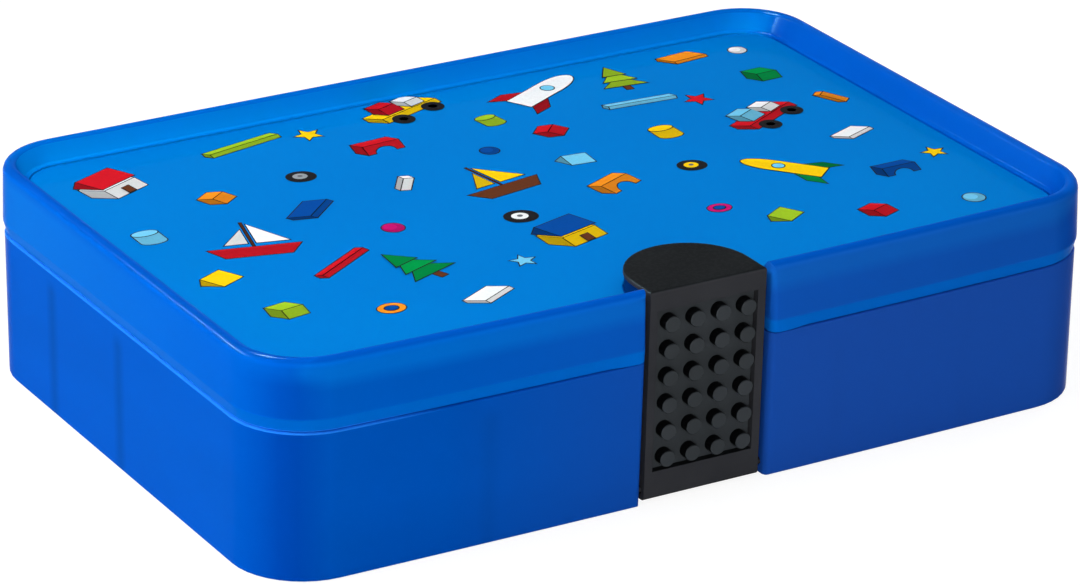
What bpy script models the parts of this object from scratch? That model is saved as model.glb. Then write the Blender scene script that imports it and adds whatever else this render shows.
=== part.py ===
"""A flat storage box for building blocks, in translucent plastic.

The tub has moulded guide ribs for slide-in dividers. The lid turns on two rear hinges and carries
a printed sheet in its recessed top. A studded latch turns on a pin at the foot of a channel in the
front, and its D-shaped pad lies over a boss of the lid.
Metres, +Z up. The origin is on the table under the middle of the case, and the front faces -Y.
"""

import math

import bmesh
import bpy
from mathutils import Matrix, Vector

# Fits
touch_gap = 0.0003
slide_gap = 0.0004
cut_overrun = 0.0040

# Case outline at the seam, where the lid meets the tub
case_length = 0.2655
case_depth = 0.1768
corner_radius = 0.0210
front_bow = 0.0028
front_bow_at_foot = 0.0014
corner_steps = 10
front_share_steps = (0.45, 0.65, 0.85)

# Tub
seam_height = 0.0430
tub_wall = 0.0022
floor_thickness = 0.0018
tub_draft = 0.0001
foot_round = 0.0004
rim_round = 0.0006
floor_fillet = 0.0030

# Lid
case_height = 0.0635
lid_overhang = 0.0003
lid_draft = 0.0004
lid_wall = 0.0019
chamfer_height = 0.0035
chamfer_depth = 0.0009
chamfer_fade_start = 0.0240
chamfer_fade_length = 0.0090
fade_steps = 4
rim_width = 0.0026
rim_outer_round = 0.0026
rim_inner_round = 0.0020
rim_inner_turn = math.radians(57)
recess_depth = 0.0075
recess_setback_sides = 0.0078
recess_setback_ends = 0.0063
recess_corner_radius = 0.0132
recess_foot_round = 0.0015
panel_thickness = 0.0020
panel_spread = 0.0005
locating_rib_depth = 0.0023
locating_rib_thickness = 0.0010
edge_hold = 0.0001
round_share = 0.3
round_steps = 4
rim_steps = 6

# Printed sheet, and the seat that holds it in the recess
sheet_thickness = 0.0005
sheet_margin = 0.0004
seat_rise = 0.0004

# Latch and the channel that holds it
latch_width = 0.0366
latch_thickness = 0.0050
latch_setback = 0.0014
latch_lean = math.radians(1.5)
latch_foot = 0.0005
foot_reach = 0.0028
foot_front_round = 0.0012
pad_thickness = 0.0014
pad_reach = 0.0079
pad_drop = 0.0009
pad_side_round = 0.0006
latch_edge_round = 0.0008
channel_side_gap = 0.0016
channel_back_gap = 0.0007
channel_mouth_round = 0.0020
mouth_steps = 5
channel_wall = 0.0020
boss_margin = 0.0003
boss_wall = 0.0018
arc_steps = 24

# Latch pin
latch_pin_radius = 0.0010
pin_clearance = 0.0003

# Stud plate on the latch
stud_pitch = 0.0080
stud_columns = 4
stud_rows = 6
stud_diameter = 0.0048
stud_height = 0.0032
stud_edge_round = 0.0002
stud_facets = 20
plate_trim = 0.0006
plate_thickness = 0.0015
plate_recess = 0.0014
plate_rise = 0.0082
window_slope = 0.00015

# Dividers and their guide ribs
divider_thickness = 0.0015
divider_drop = 0.0030
guide_rib_thickness = 0.0010
guide_rib_depth = 0.0018
guide_rib_drop = 0.0015
long_divider_shares = (-0.007, 0.478)
front_divider_shares = (-0.508, 0.319, 0.645)
middle_divider_share = -0.166

# Rear hinges
hinge_inset = 0.04775
hinge_knuckle_radius = 0.0032
hinge_standoff = 0.0004
hinge_pin_radius = 0.0012
lid_knuckle_width = 0.0134
tub_knuckle_width = 0.0060
knuckle_facets = 24
pin_facets = 20
hinge_web_height = 0.0052

# Values worked out from the sizes above
lid_bottom = seam_height + touch_gap
chamfer_top = lid_bottom + chamfer_height
recess_floor = case_height - recess_depth
seat_top = recess_floor + touch_gap + sheet_thickness + seat_rise
inner_top = case_height - lid_wall
recess_half_length = case_length / 2 - recess_setback_sides
recess_half_depth = case_depth / 2 - recess_setback_ends
channel_half = latch_width / 2 + channel_side_gap
latch_front_y = latch_setback - case_depth / 2 - front_bow_at_foot
latch_pin_y = latch_front_y + latch_thickness / 2
latch_pin_z = latch_foot + foot_reach
pad_centre_y = latch_front_y + pad_reach
pad_top = case_height - pad_drop
pad_underside = pad_top - pad_thickness
boss_top = pad_underside - touch_gap
plate_half_x = stud_pitch * stud_columns / 2 - plate_trim
plate_half_z = stud_pitch * stud_rows / 2 - plate_trim
plate_centre_z = latch_foot + plate_rise + stud_pitch * stud_rows / 2
long_divider_ys = [share * case_depth / 2 for share in long_divider_shares]
front_divider_xs = [share * case_length / 2 for share in front_divider_shares]
middle_divider_x = middle_divider_share * case_length / 2
divider_top = seam_height - divider_drop
guide_rib_top = divider_top - guide_rib_drop
hinge_spread = case_length / 2 - hinge_inset
hinge_y = case_depth / 2 + lid_overhang + hinge_knuckle_radius + hinge_standoff
hinge_z = seam_height + touch_gap / 2
widest_y = case_depth / 2 + front_bow


def clear_scene():
    for obj in list(bpy.data.objects):
        bpy.data.objects.remove(obj, do_unlink=True)


def plastic(name, colour, roughness, alpha=1.0, metallic=0.0):
    material = bpy.data.materials.new(name)
    material.use_nodes = True
    shader = material.node_tree.nodes["Principled BSDF"]
    shader.inputs["Base Color"].default_value = (*colour, 1.0)
    shader.inputs["Roughness"].default_value = roughness
    shader.inputs["Metallic"].default_value = metallic
    shader.inputs["Alpha"].default_value = alpha
    return material


def add_object(name, bm, material=None):
    """The bmesh as an object. Without a material it is a helper that only shapes others."""
    bmesh.ops.recalc_face_normals(bm, faces=bm.faces)
    mesh = bpy.data.meshes.new(name)
    bm.to_mesh(mesh)
    bm.free()
    obj = bpy.data.objects.new(name, mesh)
    bpy.context.scene.collection.objects.link(obj)
    if material:
        mesh.materials.append(material)
        mesh.shade_smooth()
        mesh.set_sharp_from_angle(angle=math.radians(30))
    else:
        obj.hide_render = True
        obj.display_type = "WIRE"
    return obj


def combine(target, tool, operation):
    modifier = target.modifiers.new(f"{operation} {tool.name}", "BOOLEAN")
    modifier.operation = operation
    modifier.solver = "EXACT"
    modifier.object = tool


def cut(target, *tools):
    for tool in tools:
        combine(target, tool, "DIFFERENCE")


def join(target, *tools):
    for tool in tools:
        combine(target, tool, "UNION")


def smooth_step(share):
    share = min(max(share, 0), 1)
    return share * share * (3 - 2 * share)


def front_stations(half_x, radius):
    """The x places of the points along the front edge, with closer ones beside the channel."""
    ends = [share * (half_x - radius) for share in front_share_steps]
    shares = [step / fade_steps for step in range(fade_steps + 1)]
    fades = [chamfer_fade_start + chamfer_fade_length * share for share in shares]
    right = sorted([*ends, *fades])
    return [-x for x in reversed(right)] + right


def outline(half_x, half_y, radius, bow):
    """A rounded rectangle whose front edge swells forward by bow, from the front's left end."""
    points = [(x, -half_y) for x in front_stations(half_x, radius)]
    for turn, (side_x, side_y) in enumerate(((1, -1), (1, 1), (-1, 1), (-1, -1))):
        for step in range(corner_steps + 1):
            angle = math.radians(90) * (turn - 1 + step / corner_steps)
            x = side_x * (half_x - radius) + radius * math.cos(angle)
            y = side_y * (half_y - radius) + radius * math.sin(angle)
            points.append((x, y))
    return [(x, y - bow * (1 - (x / half_x) ** 2)) if y < 0 else (x, y) for x, y in points]


def at_height(points, z):
    return [Vector((x, y, z)) for x, y in points]


def tub_ring(z, inset):
    """The tub's outline at a height, drawn in by inset. The tub narrows towards its foot."""
    share = z / seam_height
    narrower = tub_draft * (1 - share) + inset
    bow = front_bow_at_foot + (front_bow - front_bow_at_foot) * share
    half_x = case_length / 2 - narrower
    half_y = case_depth / 2 - narrower
    return at_height(outline(half_x, half_y, corner_radius - inset, bow), z)


def lid_ring(z, inset, fade=False):
    """The lid's outline at a height, drawn in by inset. With fade, the inset dies out beside the
    channel, where the chamfer ends."""
    half_x = case_length / 2 + lid_overhang
    half_y = case_depth / 2 + lid_overhang
    drawn_in = outline(half_x - inset, half_y - inset, corner_radius - inset, front_bow)
    if not fade:
        return at_height(drawn_in, z)
    full = outline(half_x, half_y, corner_radius, front_bow)
    points = []
    for (x0, y0), (x1, y1) in zip(full, drawn_in):
        beside_channel = y0 < 0 and abs(x0) < chamfer_fade_start + chamfer_fade_length
        share = smooth_step((abs(x0) - chamfer_fade_start) / chamfer_fade_length) if beside_channel else 1
        points.append((x0 + (x1 - x0) * share, y0 + (y1 - y0) * share))
    return at_height(points, z)


def recess_ring(z, grow=0):
    half_x = recess_half_length + grow
    half_y = recess_half_depth + grow
    return at_height(outline(half_x, half_y, recess_corner_radius + grow, 0), z)


def loft(name, rings, material=None):
    """A closed skin through the rings, capped at the first and the last."""
    bm = bmesh.new()
    rows = [[bm.verts.new(point) for point in ring] for ring in rings]
    for lower, upper in zip(rows, rows[1:]):
        count = len(lower)
        for i in range(count):
            j = (i + 1) % count
            bm.faces.new((lower[i], lower[j], upper[j], upper[i]))
    bm.faces.new(rows[0])
    bm.faces.new(rows[-1])
    return add_object(name, bm, material)


def prism_up(name, plan, low, high, material=None):
    return loft(name, [at_height(plan, low), at_height(plan, high)], material)


def prism_along_x(name, profile, low, high, material=None):
    """A profile of (y, z) points, drawn out along X."""
    rings = [[Vector((x, y, z)) for y, z in profile] for x in (low, high)]
    return loft(name, rings, material)


def rod_along_x(name, radius, low, high, y, z, facets, material=None):
    angles = [2 * math.pi * i / facets for i in range(facets)]
    profile = [(y + radius * math.cos(a), z + radius * math.sin(a)) for a in angles]
    return prism_along_x(name, profile, low, high, material)


def box(name, low, high, material=None):
    plan = [(low[0], low[1]), (high[0], low[1]), (high[0], high[1]), (low[0], high[1])]
    return prism_up(name, plan, low[2], high[2], material)


def d_plan(radius, front):
    """Straight sides from the front, closed by a half circle towards the back."""
    arc = [math.pi * i / arc_steps for i in range(arc_steps + 1)]
    back = [(radius * math.cos(a), pad_centre_y + radius * math.sin(a)) for a in arc]
    return [(radius, front), *back, (-radius, front)]


def lean(z):
    """How far the latch and its channel lean towards the front at a height, as the front does."""
    return -math.tan(latch_lean) * (z - latch_pin_z)


def channel_back(z):
    return latch_front_y + latch_thickness + channel_back_gap + lean(z)


def tub_front(z):
    """The y of the tub's outer face beside the channel."""
    share = z / seam_height
    bow = front_bow_at_foot + (front_bow - front_bow_at_foot) * share
    return -(case_depth / 2 - tub_draft * (1 - share) + bow)


def lid_front(z):
    """The y of the lid's outer face beside the channel, above the chamfer's height."""
    share = (z - chamfer_top) / (case_height - chamfer_top)
    return -(widest_y + lid_overhang - lid_draft * max(share, 0))


def channel_cutter():
    """The channel for the latch, from under the tub to above the lid, with rounded mouth edges."""
    levels = (
        (-cut_overrun, tub_front(0)),
        (0, tub_front(0)),
        (seam_height, tub_front(seam_height)),
        (chamfer_top, lid_front(chamfer_top)),
        (case_height, lid_front(case_height)),
        (case_height + cut_overrun, lid_front(case_height)),
    )
    rings = []
    for z, front in levels:
        right = [(channel_half, channel_back(z))]
        for step in range(mouth_steps + 1):
            angle = math.radians(90) * step / mouth_steps
            x = channel_half + channel_mouth_round * (1 - math.cos(angle))
            y = front + channel_mouth_round * (1 - math.sin(angle))
            right.append((x, y))
        right.append((channel_half + channel_mouth_round, front - cut_overrun))
        left = [(-x, y) for x, y in reversed(right)]
        rings.append(at_height(right + left, z))
    return loft("channel_cutter", rings)


def tub_channel_walls():
    """The block that becomes the channel's side and back walls in the tub."""
    low = floor_thickness / 2
    high = seam_height - touch_gap
    half_wall = tub_wall / 2
    profile = [
        (tub_front(low) + half_wall, low),
        (channel_back(low) + channel_wall, low),
        (channel_back(high) + channel_wall, high),
        (tub_front(high) + half_wall, high),
    ]
    half = channel_half + channel_wall
    return prism_along_x("tub_channel_walls", profile, -half, half)


def lid_channel_walls():
    """The block that becomes the channel's side and back walls in the lid."""
    low = lid_bottom + touch_gap
    panel_middle = recess_floor - panel_thickness / 2
    half_wall = lid_wall / 2
    rim_back = -(widest_y + lid_overhang - lid_draft - lid_wall - half_wall)
    profile = [
        (lid_front(low) + half_wall, low),
        (channel_back(low) + channel_wall, low),
        (channel_back(panel_middle) + channel_wall, panel_middle),
        (rim_back, inner_top),
        (lid_front(inner_top) + half_wall, inner_top),
    ]
    half = channel_half + channel_wall
    return prism_along_x("lid_channel_walls", profile, -half, half)


def inner_wall(z):
    """Half the tub's inner length and depth at a height, behind the front."""
    narrower = tub_draft * (1 - z / seam_height) + tub_wall
    return case_length / 2 - narrower, case_depth / 2 - narrower


def inner_front(x, z):
    """The y of the tub's inner front face at a place along it."""
    half_x, half_y = inner_wall(z)
    share = z / seam_height
    bow = front_bow_at_foot + (front_bow - front_bow_at_foot) * share
    return -(half_y + bow * (1 - (x / half_x) ** 2))


def guide_pairs():
    """Pairs of guide ribs on the tub's walls, one rib each side of a divider's edge."""
    half_x, _ = inner_wall(0)
    offset = divider_thickness / 2 + slide_gap
    low = floor_thickness / 2
    boxes = []
    for y in long_divider_ys:
        for side in (-1, 1):
            near = side * (half_x - guide_rib_depth)
            far = side * (half_x + tub_wall / 2)
            for y0 in (y - offset - guide_rib_thickness, y + offset):
                boxes.append((min(near, far), max(near, far), y0, y0 + guide_rib_thickness))
    for x in front_divider_xs:
        front = inner_front(x, 0)
        for x0 in (x - offset - guide_rib_thickness, x + offset):
            boxes.append((x0, x0 + guide_rib_thickness, front - tub_wall / 2, front + guide_rib_depth))
    tools = []
    for number, (x0, x1, y0, y1) in enumerate(boxes, 1):
        tools.append(box(f"guide_rib_{number}", (x0, y0, low), (x1, y1, guide_rib_top)))
    return tools


def hinge_web(name, side, low, high):
    """The web under or over a knuckle: side is -1 for the tub and 1 for the lid."""
    root = case_depth / 2 - tub_wall / 2
    tip = hinge_z + side * hinge_web_height
    near = hinge_z + side * touch_gap
    profile = [(root, near), (hinge_y, near), (hinge_y, hinge_z + side * hinge_knuckle_radius), (root, tip)]
    return prism_along_x(name, profile, low, high)


def knuckle_rod(name, low, high):
    return rod_along_x(name, hinge_knuckle_radius, low, high, hinge_y, hinge_z, knuckle_facets)


def hinge_tools(side_x):
    """For one rear hinge: the tub's two knuckles, the lid's knuckle, and the bore through them."""
    centre = side_x * hinge_spread
    half_lid = lid_knuckle_width / 2
    spans = (
        (centre - half_lid - touch_gap - tub_knuckle_width, centre - half_lid - touch_gap),
        (centre + half_lid + touch_gap, centre + half_lid + touch_gap + tub_knuckle_width),
    )
    name = "right" if side_x > 0 else "left"
    tub_tools = []
    for number, (low, high) in enumerate(spans, 1):
        knuckle = f"tub_knuckle_{name}_{number}"
        tub_tools.append(knuckle_rod(knuckle, low, high))
        tub_tools.append(hinge_web(f"{knuckle}_web", -1, low, high))
    low, high = centre - half_lid, centre + half_lid
    knuckle = f"lid_knuckle_{name}"
    lid_tools = [
        knuckle_rod(knuckle, low, high),
        hinge_web(f"{knuckle}_web", 1, low, high),
    ]
    reach = half_lid + touch_gap + tub_knuckle_width
    bore = rod_along_x(
        f"hinge_bore_{name}",
        hinge_pin_radius + pin_clearance,
        centre - reach - cut_overrun,
        centre + reach + cut_overrun,
        hinge_y,
        hinge_z,
        pin_facets,
    )
    return tub_tools, lid_tools, bore


def hinge_pin(side_x, material):
    centre = side_x * hinge_spread
    reach = lid_knuckle_width / 2 + touch_gap + tub_knuckle_width
    name = "hinge_pin_right" if side_x > 0 else "hinge_pin_left"
    ends = (centre - reach, centre + reach)
    return rod_along_x(name, hinge_pin_radius, *ends, hinge_y, hinge_z, pin_facets, material)


def base_tub(material, channel, hinges):
    rings = [
        tub_ring(0, foot_round),
        tub_ring(foot_round * round_share, foot_round * round_share),
        tub_ring(foot_round, 0),
        tub_ring(seam_height - rim_round, 0),
        tub_ring(seam_height - rim_round * round_share, rim_round * round_share),
        tub_ring(seam_height, rim_round),
        tub_ring(seam_height, tub_wall),
        tub_ring(floor_thickness + floor_fillet, tub_wall),
        tub_ring(floor_thickness + floor_fillet * round_share, tub_wall + floor_fillet * round_share),
        tub_ring(floor_thickness, tub_wall + floor_fillet),
    ]
    tub = loft("base_tub", rings, material)
    join(tub, *guide_pairs())
    join(tub, tub_channel_walls())
    cut(tub, channel)
    reach = channel_half + channel_wall + cut_overrun
    bore_radius = latch_pin_radius + pin_clearance
    bore = rod_along_x("latch_pin_bore", bore_radius, -reach, reach, latch_pin_y, latch_pin_z, pin_facets)
    cut(tub, bore)
    for tub_tools, _, hinge_bore in hinges:
        join(tub, *tub_tools)
        cut(tub, hinge_bore)
    return tub


def foot_rings():
    """The rings of the hollow round where the recess's floor turns up into the slope."""
    rings = []
    for step in range(round_steps + 1):
        angle = rim_inner_turn * step / round_steps
        height = seat_top + recess_foot_round * (1 - math.cos(angle))
        rings.append(recess_ring(height, recess_foot_round * math.sin(angle)))
    return rings


def rim_rings(shoulder):
    """The rings over the rim, from the slope inside it up and over to its outer shoulder."""
    rings = []
    for step in range(rim_steps, 0, -1):
        angle = rim_inner_turn * step / rim_steps
        inset = rim_width + rim_inner_round * math.sin(angle)
        rings.append(lid_ring(case_height - rim_inner_round * (1 - math.cos(angle)), inset))
    for step in range(rim_steps, -1, -1):
        angle = math.radians(90) * step / rim_steps
        inset = rim_width - (rim_width - lid_draft) * math.cos(angle)
        rings.append(lid_ring(shoulder + rim_outer_round * math.sin(angle), inset))
    return rings


def lid_shell(material, channel, hinges):
    shoulder = case_height - rim_outer_round
    rib_outer = lid_overhang + tub_wall + slide_gap
    rib_inner = rib_outer + locating_rib_thickness
    rib_tip = seam_height - locating_rib_depth
    rings = [
        recess_ring(recess_floor),
        *foot_rings(),
        *rim_rings(shoulder),
        lid_ring(chamfer_top + edge_hold, 0),
        lid_ring(chamfer_top, 0),
        lid_ring(chamfer_top - edge_hold, chamfer_depth * edge_hold / chamfer_height, fade=True),
        lid_ring(lid_bottom, chamfer_depth, fade=True),
        lid_ring(lid_bottom, rib_outer),
        lid_ring(rib_tip, rib_outer),
        lid_ring(rib_tip, rib_inner),
        lid_ring(lid_bottom + locating_rib_thickness, rib_inner),
        lid_ring(chamfer_top, lid_wall),
        lid_ring(inner_top, lid_draft + lid_wall),
        recess_ring(recess_floor - panel_thickness, panel_spread),
    ]
    lid = loft("lid_shell", rings, material)
    boss_radius = latch_width / 2 - boss_margin
    front = pad_centre_y - latch_thickness
    boss_low = recess_floor - panel_thickness / 2
    boss = prism_up("boss_block", d_plan(boss_radius, front), boss_low, case_height)
    join(lid, lid_channel_walls(), boss)
    cut(lid, channel)
    reach = pad_centre_y + latch_width
    pocket_low = (-channel_half, -widest_y - cut_overrun, boss_top)
    pocket = box("pad_pocket", pocket_low, (channel_half, reach, case_height + cut_overrun))
    hollow_front = channel_back(recess_floor) + channel_wall
    hollow_plan = d_plan(boss_radius - boss_wall, hollow_front)
    hollow_low = recess_floor - panel_thickness - cut_overrun
    hollow = prism_up("boss_hollow", hollow_plan, hollow_low, boss_top - boss_wall)
    rib_gap_half = channel_half + channel_wall + slide_gap
    rib_gap_low = (-rib_gap_half, -widest_y + tub_wall, rib_tip - cut_overrun)
    rib_gap = box("rib_gap", rib_gap_low, (rib_gap_half, pad_centre_y, lid_bottom))
    cut(lid, pocket, hollow, rib_gap)
    for _, lid_tools, hinge_bore in hinges:
        join(lid, *lid_tools)
        cut(lid, hinge_bore)
    return lid


def lid_print_sheet(material):
    """The sheet that lies in the recess, with a bite round the boss."""
    half_x = recess_half_length - sheet_margin
    half_y = recess_half_depth - sheet_margin
    radius = recess_corner_radius - sheet_margin
    around = outline(half_x, half_y, radius, 0)
    bite_radius = latch_width / 2 - boss_margin + sheet_margin
    start = math.asin((-half_y - pad_centre_y) / bite_radius)
    bite = []
    for step in range(arc_steps + 1):
        angle = math.pi - start - (math.pi - 2 * start) * step / arc_steps
        bite.append((bite_radius * math.cos(angle), pad_centre_y + bite_radius * math.sin(angle)))
    count = len(front_stations(half_x, radius)) // 2
    plan = around[:count] + bite + around[count:]
    low = recess_floor + touch_gap
    return prism_up("lid_print_sheet", plan, low, low + sheet_thickness, material)


def latch_profile():
    """The latch from the side: a foot rounded about the pin, a leaning plate and a level pad."""
    half = latch_thickness / 2
    foot = []
    for step in range(corner_steps + 1):
        angle = math.radians(90) * step / corner_steps
        foot.append((latch_pin_y + half * math.cos(angle), latch_pin_z - foot_reach * math.sin(angle)))
    for step in range(round_steps + 1):
        angle = math.radians(90) * step / round_steps
        y = latch_front_y + foot_front_round * (1 - math.sin(angle))
        z = latch_foot + foot_front_round * (1 - math.cos(angle))
        foot.append((y, z))
    brow = []
    for step in range(round_steps + 1):
        angle = math.radians(90) * step / round_steps
        z = pad_top - latch_edge_round * (1 - math.sin(angle))
        brow.append((latch_front_y + lean(z) + latch_edge_round * (1 - math.cos(angle)), z))
    back = pad_centre_y + latch_width
    behind = latch_front_y + latch_thickness + lean(pad_underside)
    return [*foot, *brow, (back, pad_top), (back, pad_underside), (behind, pad_underside)]


def leaning(obj):
    """Turns an upright piece or tool to lean as the latch does."""
    pivot = Vector((0, latch_front_y, latch_pin_z))
    turn = Matrix.Translation(pivot) @ Matrix.Rotation(latch_lean, 4, "X") @ Matrix.Translation(-pivot)
    obj.data.transform(turn)
    return obj


def pad_plan_tool():
    """What the latch keeps of its profile: a D from above, with a rounded upper edge."""
    half = latch_width / 2
    front = -widest_y - cut_overrun
    shoulder = pad_top - pad_side_round
    rings = [at_height(d_plan(half, front), -cut_overrun)]
    for step in range(round_steps + 1):
        angle = math.radians(90) * step / round_steps
        inset = pad_side_round * (1 - math.cos(angle))
        rings.append(at_height(d_plan(half - inset, front), shoulder + pad_side_round * math.sin(angle)))
    rings.append(at_height(d_plan(half - pad_side_round, front), case_height + cut_overrun))
    return loft("latch_plan", rings)


def plate_pocket():
    """The window for the stud plate. Its sides slope in towards the plate."""
    floor = latch_front_y + plate_recess + plate_thickness + touch_gap
    snug = touch_gap
    wide = touch_gap + window_slope
    stations = (
        (latch_front_y - cut_overrun, wide),
        (latch_front_y, wide),
        (latch_front_y + plate_recess, snug),
        (floor, snug),
    )
    rings = []
    for y, gap in stations:
        half_x = plate_half_x + gap
        half_z = plate_half_z + gap
        corners = ((-half_x, -half_z), (half_x, -half_z), (half_x, half_z), (-half_x, half_z))
        rings.append([Vector((x, y, plate_centre_z + z)) for x, z in corners])
    return leaning(loft("plate_pocket", rings))


def latch_body(material):
    half = latch_width / 2
    body = prism_along_x("latch_body", latch_profile(), -half, half, material)
    combine(body, pad_plan_tool(), "INTERSECT")
    reach = half + cut_overrun
    bore_radius = latch_pin_radius + pin_clearance
    bore = rod_along_x("latch_bore", bore_radius, -reach, reach, latch_pin_y, latch_pin_z, pin_facets)
    cut(body, plate_pocket(), bore)
    return body


def stud_grid():
    """The studs, each turned about its own axis from a short profile."""
    bm = bmesh.new()
    radius = stud_diameter / 2
    face = latch_front_y + plate_recess
    tip = face - stud_height
    stations = (
        (radius, face + plate_thickness / 2),
        (radius, tip + stud_edge_round),
        (radius - stud_edge_round, tip),
    )
    angles = [2 * math.pi * i / stud_facets for i in range(stud_facets)]
    for row in range(stud_rows):
        for column in range(stud_columns):
            x = stud_pitch * (column - (stud_columns - 1) / 2)
            z = plate_centre_z + stud_pitch * (row - (stud_rows - 1) / 2)
            rows = []
            for size, y in stations:
                circle = [(x + size * math.cos(a), y, z + size * math.sin(a)) for a in angles]
                rows.append([bm.verts.new(point) for point in circle])
            for lower, upper in zip(rows, rows[1:]):
                for i in range(stud_facets):
                    j = (i + 1) % stud_facets
                    bm.faces.new((lower[i], lower[j], upper[j], upper[i]))
            bm.faces.new(rows[0])
            bm.faces.new(rows[-1])
    return leaning(add_object("stud_grid", bm))


def latch_stud_plate(material):
    face = latch_front_y + plate_recess
    low = (-plate_half_x, face, plate_centre_z - plate_half_z)
    high = (plate_half_x, face + plate_thickness, plate_centre_z + plate_half_z)
    plate = leaning(box("latch_stud_plate", low, high, material))
    join(plate, stud_grid())
    return plate


def latch_pin(material):
    reach = channel_half + channel_wall
    place = (latch_pin_y, latch_pin_z)
    return rod_along_x("latch_pin", latch_pin_radius, -reach, reach, *place, pin_facets, material)


def rib_steps(xs, face, side):
    """The outline of pairs of guide ribs that stand on a divider's face, left to right."""
    offset = divider_thickness / 2 + slide_gap
    tip = face + side * guide_rib_depth
    points = []
    for x in sorted(xs):
        for x0 in (x - offset - guide_rib_thickness, x + offset):
            x1 = x0 + guide_rib_thickness
            points += [(x0, face), (x0, tip), (x1, tip), (x1, face)]
    return points


def long_plan(half_x, y, front_xs, back_xs):
    """The long divider from above, with guide ribs for the short dividers that meet its faces."""
    front = y - divider_thickness / 2
    back = y + divider_thickness / 2
    front_edge = [(-half_x, front), *rib_steps(front_xs, front, -1), (half_x, front)]
    back_edge = [(-half_x, back), *rib_steps(back_xs, back, 1), (half_x, back)]
    return front_edge + back_edge[::-1]


def long_divider(name, y, front_xs, back_xs, material):
    """A plate along the box. Its lower corners are cut back to clear the fillet round the floor."""
    low = floor_thickness + touch_gap
    rings = []
    for z, inset in ((low, floor_fillet), (low + floor_fillet, 0), (divider_top, 0)):
        half_x = inner_wall(z)[0] - slide_gap - inset
        rings.append(at_height(long_plan(half_x, y, front_xs, back_xs), z))
    return loft(name, rings, material)


def short_divider(name, x, front_low, front_high, back, material):
    """A plate across the box. Its front edge leans as the wall or plate that it meets."""
    low = floor_thickness + touch_gap
    half = divider_thickness / 2
    profile = [
        (front_low + floor_fillet, low),
        (back, low),
        (back, divider_top),
        (front_high, divider_top),
        (front_low, low + floor_fillet),
    ]
    return prism_along_x(name, profile, x - half, x + half, material)


def axis_empty(name, y, z):
    """The empty that marks a joint's axis and carries what turns about it."""
    empty = bpy.data.objects.new(name, None)
    empty.location = (0, y, z)
    bpy.context.scene.collection.objects.link(empty)
    bpy.context.view_layer.update()
    return empty


def hang_on(empty, *pieces):
    for piece in pieces:
        piece.parent = empty
        piece.matrix_parent_inverse = empty.matrix_world.inverted()


def build():
    clear_scene()
    blue = plastic("translucent_blue", (0.002, 0.105, 0.560), 0.32, alpha=0.85)
    print_blue = plastic("printed_sheet_blue", (0.002, 0.205, 0.640), 0.28)
    black = plastic("black_plastic", (0.036, 0.040, 0.044), 0.46)
    steel = plastic("pin_steel", (0.56, 0.57, 0.58), 0.30, metallic=1.0)

    channel = channel_cutter()
    hinges = [hinge_tools(-1), hinge_tools(1)]
    base_tub(blue, channel, hinges)
    lid = lid_shell(blue, channel, hinges)
    sheet = lid_print_sheet(print_blue)
    body = latch_body(black)
    plate = latch_stud_plate(black)
    latch_pin(black)
    hinge_pin(-1, steel)
    hinge_pin(1, steel)

    middle_y, rear_y = long_divider_ys
    long_divider("divider_long_middle", middle_y, front_divider_xs, [middle_divider_x], blue)
    long_divider("divider_long_rear", rear_y, [middle_divider_x], [], blue)
    middle_front = middle_y - divider_thickness / 2
    for number, x in enumerate(front_divider_xs, 1):
        low = inner_front(x, 0) + slide_gap
        high = inner_front(x, divider_top) + slide_gap
        short_divider(f"divider_front_{number}", x, low, high, middle_front - touch_gap, blue)
    behind_middle = middle_y + divider_thickness / 2 + touch_gap
    before_rear = rear_y - divider_thickness / 2 - touch_gap
    short_divider("divider_middle", middle_divider_x, behind_middle, behind_middle, before_rear, blue)

    hang_on(axis_empty("lid_hinge_axis", hinge_y, hinge_z), lid, sheet)
    hang_on(axis_empty("latch_hinge_axis", latch_pin_y, latch_pin_z), body, plate)


build()
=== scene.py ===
"""Looks for the building block storage box: its camera, light, finishes and printed motifs."""

import math

import bmesh
import bpy
from mathutils import Matrix, Vector


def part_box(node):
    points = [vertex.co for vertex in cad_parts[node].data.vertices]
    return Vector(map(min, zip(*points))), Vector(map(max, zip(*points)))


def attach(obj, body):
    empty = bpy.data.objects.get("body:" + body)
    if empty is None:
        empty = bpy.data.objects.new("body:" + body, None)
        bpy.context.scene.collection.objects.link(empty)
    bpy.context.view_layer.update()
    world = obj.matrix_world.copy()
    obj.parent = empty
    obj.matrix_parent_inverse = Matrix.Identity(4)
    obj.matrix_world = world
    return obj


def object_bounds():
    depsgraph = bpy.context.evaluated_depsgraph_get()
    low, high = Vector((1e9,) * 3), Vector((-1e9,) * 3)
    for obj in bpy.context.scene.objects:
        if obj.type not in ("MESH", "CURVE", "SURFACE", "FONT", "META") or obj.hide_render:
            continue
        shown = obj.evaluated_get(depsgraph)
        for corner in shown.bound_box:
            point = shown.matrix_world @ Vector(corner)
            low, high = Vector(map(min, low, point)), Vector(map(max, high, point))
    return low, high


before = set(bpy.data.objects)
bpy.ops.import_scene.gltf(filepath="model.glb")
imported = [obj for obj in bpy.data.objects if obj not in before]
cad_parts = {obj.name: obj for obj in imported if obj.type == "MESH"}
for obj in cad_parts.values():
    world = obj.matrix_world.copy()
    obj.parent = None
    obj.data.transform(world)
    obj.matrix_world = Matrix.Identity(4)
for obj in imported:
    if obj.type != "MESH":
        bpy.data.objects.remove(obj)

cad_low, cad_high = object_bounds()

# Photograph's frame, in its own pixels
image_width = 1080
image_height = 585
focal_pixels = 5025.6
axis_u = 528.3
axis_v = 288.1

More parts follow.
